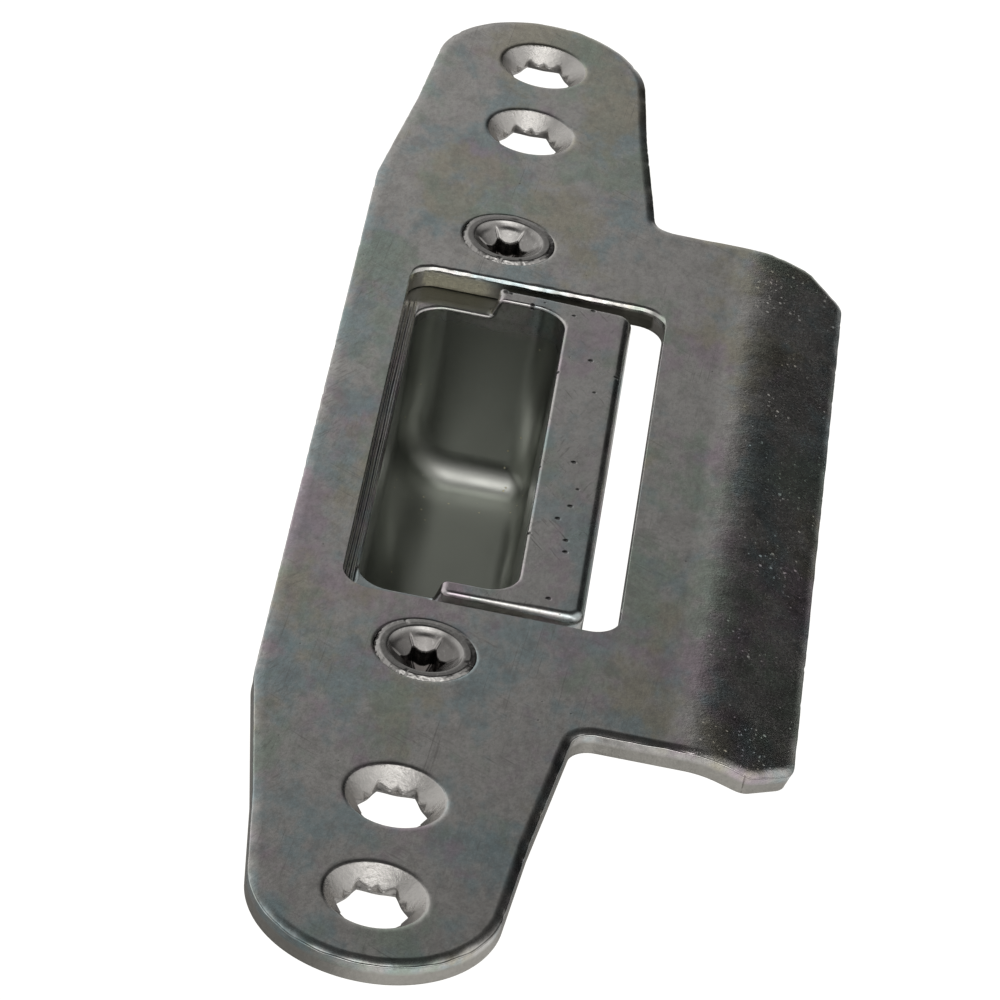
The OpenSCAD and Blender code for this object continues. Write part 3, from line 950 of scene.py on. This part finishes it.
def build_screw(side, y, twist, nicks, petal_painted_shade):
    """Clamp screw on one side; nicks are (degrees round the head, width, depth), and the last argument is how
    much painted shade darkens the mouth's petals.
    """
    count = 240
    way, turn = circle(count)
    b, dark, rings = Builder(), [], []
    radii = [np.linspace(0.12, 3.95, 76), np.linspace(4.05, FACE_R, 5), np.linspace(4.76, HEAD_R, 9)]
    for r in np.concatenate(radii):
        z, socket = head_height(np.full(count, r), turn, twist, nicks, petal_painted_shade)
        if r > FACE_R:
            rough = [wave(5 * c, 5 * s, r, 0.7, twist) + wave(5 * c, 5 * s, r, 0.3, 5) for c, s in way]
            z = z + 0.10 * np.array(rough) * smooth(r, FACE_R, 5.0) * worn_share(turn) - 0.03
        rings.append((r, SCREW_TOP + z))
        dark += list(socket)
    for k in range(1, 6):
        r = HEAD_R + (THREAD_R - 0.25 - HEAD_R) * k / 5
        rings.append((r, SCREW_TOP - HEAD_RIM - (HEAD_R - r)))
    start = rings[-1][1] - 0.15
    for z in np.arange(start, SCREW_END + 0.5, -THREAD_STEP):
        depth = 0.46 * smooth(start - z, 0.0, 0.7) * (1 - 0.5 * smooth(-z, -SCREW_END - 1.0, -SCREW_END))
        rings.append((THREAD_R - 0.02 - depth * (1 - thread(z, turn)), z))
    rings += [(1.9, SCREW_END + 0.15), (1.6, SCREW_END)]
    loops = [b.add(ring_points(way, r, y, z)) for r, z in rings]
    b.skin(loops)
    top, end = b.add([(0, y, rings[0][1].mean() - 0.02), (0, y, SCREW_END)])
    dark += [0] * (len(b.points) - len(dark))
    b.cap(loops[0], top)
    b.cap(loops[-1], end)
    node = f"clamp_screw_{side}"
    return make_object(f"{node}_detail", b.points, b.faces, node, f"{side}_screw", screw_metal,
                       attributes=[("socket", dark)], sharp=60)


def build_nut(side, y):
    """Rectangular nut with chamfered edges and a threaded bore."""
    count = 96
    way, turn = circle(count)
    half_l, half_w = (NUT_HIGH[0] - NUT_LOW[0]) / 2, (NUT_HIGH[1] - NUT_LOW[1]) / 2
    b = Builder()
    low, high = NUT_LOW[2], NUT_HIGH[2]

    corners = ((half_l, -half_w), (half_l, half_w), (-half_l, half_w), (-half_l, -half_w))
    outline, outward = rounded_path([(*corner, NUT_CORNER_R) for corner in corners], 0.8)
    sides = []
    for inset, z in ((0.35, high), (0.12, high - 0.1), (0.0, high - 0.35),
                     (0.0, low + 0.35), (0.12, low + 0.1), (0.35, low)):
        sides.append(b.add([(px, py + y, z) for px, py in outline - outward * inset]))
    b.skin(sides)
    bore = [(BORE_MOUTH_R, high), (THREAD_R + 0.12, high - 0.36)]
    for z in np.arange(high - 0.45, low + 0.42, -THREAD_STEP):
        bore.append((THREAD_R + 0.05 - 0.36 * (1 - thread(z, turn)), z))
    bore += [(THREAD_R + 0.12, low + 0.36), (BORE_MOUTH_R, low)]
    loops = [b.add(ring_points(way, r, y, z)) for r, z in bore]
    b.skin(loops)
    b.fill(sides[0], [loops[0]])
    b.fill(sides[-1], [loops[-1]])
    node = f"clamp_nut_{side}"
    return make_object(f"{node}_detail", b.points, b.faces, node, f"{side}_nut", nut_metal)


# The last number is painted shade over each mouth's petals: light on the upper screw, heavier on the lower.
build_screw("upper", CLAMP_Y, math.radians(1), ((-97, 0.22, 0.25), (-66, 0.12, 0.18), (88, 0.5, -0.05)), 0.25)
build_screw("lower", -CLAMP_Y, math.radians(4), ((120, 0.15, 0.15), (-12, 0.2, 0.12), (-108, 0.15, 0.1)), 0.6)
build_nut("upper", CLAMP_Y)
build_nut("lower", -CLAMP_Y)

# ---------- floor, light and camera ----------

WARM_WHITE = rgb(1, 0.99, 0.97)
FLOOR_GAP = 0.1                 # between the part's lowest point and the table
FLOOR_HALF_M = 6.0
LIP_MIDDLE_X = 11.0             # middle of the rectangle that holds the lip and the body
ROOM_LEVEL = 0.375
CAMERA_PLACE = (2.67, -509.25, 330.64)
CAMERA_TARGET = (4.56, -11.55, 2.5)
CAMERA_ROLL = math.radians(11.22)
CAMERA_LENS = 204.8


def build_floor():
    """A plain white table under the part, lit from within, and unseen from below.

    It glows less under the part, where a real table would be in shade.
    """
    size = FLOOR_HALF_M
    mesh = bpy.data.meshes.new("table")
    z = cad_box[0][2] - FLOOR_GAP * MM
    corners = [(-size, -size, z), (size, -size, z), (size, size, z), (-size, size, z)]
    mesh.from_pydata(corners, [], [(0, 1, 2, 3)])
    floor = bpy.data.objects.new("table", mesh)
    bpy.context.scene.collection.objects.link(floor)
    material = bpy.data.materials.new("table_white")
    material.use_nodes = True
    n = Nodes(material.node_tree)
    x, y, _ = n.add("ShaderNodeSeparateXYZ", {0: n.object_mm()}).outputs

    def past(middle_x, half_x, half_y):
        """Distance past a rectangle."""
        across = n.math("ABSOLUTE", n.math("SUBTRACT", x, middle_x))
        return n.math("MAXIMUM", n.math("SUBTRACT", across, half_x),
                      n.math("SUBTRACT", n.math("ABSOLUTE", y), half_y))

    past_tabs = past(0, BODY_HALF_W, PLATE_HIGH[1])
    past_lip = past(LIP_MIDDLE_X, PLATE_HIGH[0] - LIP_MIDDLE_X, LIP_HALF_LEN)
    open_share = n.ramp(n.math("MINIMUM", past_tabs, past_lip), -4.0, 14.0, 0.12, 0.70)
    # Painted shade: the table's glow, as the part sees it, also falls off towards -X and far out past the lip
    # towards +X.
    open_share = n.math("MULTIPLY", open_share, n.ramp(x, -30.0, 15.0, 0.3, 1.0))
    open_share = n.math("MULTIPLY", open_share, n.ramp(x, 45.0, 80.0, 1.0, 0.35))
    seen = n.add("ShaderNodeLightPath").outputs["Is Camera Ray"]
    strength = n.math("MAXIMUM", n.math("MULTIPLY", seen, 1.1), open_share)
    glow = n.add("ShaderNodeEmission", {"Color": WARM_WHITE, "Strength": strength}).outputs[0]
    clear = n.add("ShaderNodeBsdfTransparent").outputs[0]
    below = n.add("ShaderNodeNewGeometry").outputs["Backfacing"]
    mixed = n.add("ShaderNodeMixShader", {0: below, 1: glow, 2: clear}).outputs[0]
    n.output("ShaderNodeOutputMaterial", mixed)
    mesh.materials.append(material)


def direction(azimuth, elevation):
    """Unit vector at an azimuth from +Y towards +X, and an elevation, in degrees."""
    a, e = math.radians(azimuth), math.radians(elevation)
    return (math.sin(a) * math.cos(e), math.cos(a) * math.cos(e), math.sin(e))


def build_world():
    """Studio surroundings: a soft grey room with bright and dark panels, plain white to the camera.

    Each panel is (azimuth, elevation, inner and outer radius in degrees, light added or share kept).
    """
    world = bpy.data.worlds.new("studio")
    bpy.context.scene.world = world
    world.use_nodes = True
    n = Nodes(world.node_tree)
    look = n.add("ShaderNodeTexCoord").outputs["Generated"]

    def panel(azimuth, elevation, inner, outer):
        """1 within inner degrees of a direction, falling to 0 at outer."""
        dot = n.add("ShaderNodeVectorMath", {0: look, 1: direction(azimuth, elevation)},
                    operation="DOT_PRODUCT").outputs["Value"]
        return n.ramp(dot, math.cos(math.radians(outer)), math.cos(math.radians(inner)))

    walls = ((-55, 22, 18, 50, 0.4), (90, 38, 12, 40, 0.35))
    screens = ((180, 8, 25, 55, 0.55), (0, 70, 16, 39, 0.10), (26, 26, 9, 24, 0.04), (31, 6, 10, 20, 0.1),
               (21, 42, 6, 24, 0.5))
    lamps = ((180, 60, 20, 32, 0.5), (180, 67, 6, 15, 1.0), (158, 61, 6, 14, 0.7), (138, 55, 6, 15, 0.7),
             (124, 36, 6, 14, 0.8), (224, 56, 8, 18, 0.5))
    level = ROOM_LEVEL
    for *where, added in walls:
        level = n.math("MULTIPLY_ADD", panel(*where), added, level)
    for *where, kept in screens:
        level = n.math("MULTIPLY", level, n.math("MULTIPLY_ADD", panel(*where), kept - 1, 1.0))
    for *where, added in lamps:
        level = n.math("MULTIPLY_ADD", panel(*where), added, level)
    light = n.add("ShaderNodeBackground", {"Color": WARM_WHITE, "Strength": level}).outputs[0]
    white = n.add("ShaderNodeBackground", {"Color": rgb(1, 1, 1), "Strength": 1.0}).outputs[0]
    seen = n.add("ShaderNodeLightPath").outputs["Is Camera Ray"]
    n.output("ShaderNodeOutputWorld", n.add("ShaderNodeMixShader", {0: seen, 1: light, 2: white}).outputs[0])


def build_camera():
    """The photograph's viewpoint: 596 mm off, 33.4 degrees up, rolled by 11.2 degrees."""
    camera = bpy.data.objects.new("camera", bpy.data.cameras.new("camera"))
    bpy.context.scene.collection.objects.link(camera)
    place = Vector(CAMERA_PLACE) * MM
    target = Vector(CAMERA_TARGET) * MM
    forward = (target - place).normalized()
    right = forward.cross(Vector((0, 0, 1))).normalized()
    up = right.cross(forward)
    c, s = math.cos(CAMERA_ROLL), math.sin(CAMERA_ROLL)
    axes = (right * c + up * s, up * c - right * s, -forward)
    camera.matrix_world = Matrix.Translation(place) @ Matrix(axes).transposed().to_4x4()
    camera.data.sensor_width = 36
    camera.data.lens = CAMERA_LENS
    camera.data.clip_start = 0.01
    camera.data.clip_end = 50
    bpy.context.scene.camera = camera


build_floor()
build_world()
build_camera()
bpy.context.scene.view_settings.view_transform = "Standard"
bpy.context.scene.view_settings.look = "None"
